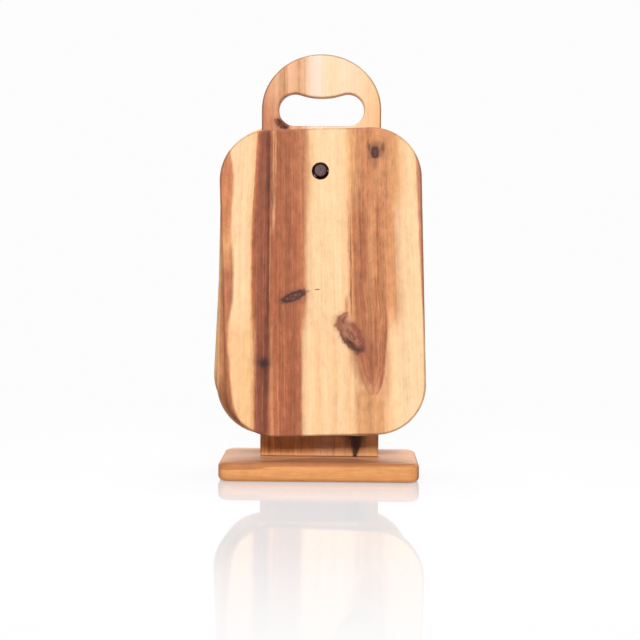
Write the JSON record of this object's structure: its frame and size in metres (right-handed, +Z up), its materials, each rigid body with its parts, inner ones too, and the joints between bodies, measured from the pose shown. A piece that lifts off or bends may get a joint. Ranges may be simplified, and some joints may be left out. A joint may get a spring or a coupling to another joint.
{
  "type": "cutting board set",
  "caption": "Wooden stand with a flat base, an arched upright with a hand hole, and a through peg that carries rounded cutting boards in front and behind.",
  "frame": {"origin": "centre of the base's underside, on the surface that the set stands on", "axes": "+Z up along the upright, +X to the right seen from the front, -Y towards the front, with the peg along Y"},
  "size_m": [0.2163, 0.105, 0.4286],
  "materials": {
    "board_wood": "oiled acacia, satin, with light sapwood and brown heartwood",
    "stand_wood": "oiled acacia, satin",
    "peg_wood": "dark hardwood dowel, satin, with open end grain",
    "dowel_wood": "raw beech",
    "screw_steel": "yellow zinc plated"
  },
  "bodies": {
    "stand": {"base": "stand_wood", "upright": "stand_wood", "hanging_peg": "peg_wood", "base_screw_left": "screw_steel", "base_screw_right": "screw_steel", "base_dowel_left": "dowel_wood", "base_dowel_right": "dowel_wood"},
    "front_inner": {"board_front_inner": "board_wood"},
    "front_outer": {"board_front_outer": "board_wood"},
    "back_inner": {"board_back_inner": "board_wood"},
    "back_outer": {"board_back_outer": "board_wood"}
  },
  "joints": [
    {"name": "front_inner_lift_off", "type": "slide", "parent": "stand", "child": "front_inner", "axis": [0, -1, 0], "range_m": [0, 0.06]},
    {"name": "front_outer_lift_off", "type": "slide", "parent": "front_inner", "child": "front_outer", "axis": [0, -1, 0], "range_m": [0, 0.05]},
    {"name": "back_inner_lift_off", "type": "slide", "parent": "stand", "child": "back_inner", "axis": [0, 1, 0], "range_m": [0, 0.06]},
    {"name": "back_outer_lift_off", "type": "slide", "parent": "back_inner", "child": "back_outer", "axis": [0, 1, 0], "range_m": [0, 0.05]}
  ]
}
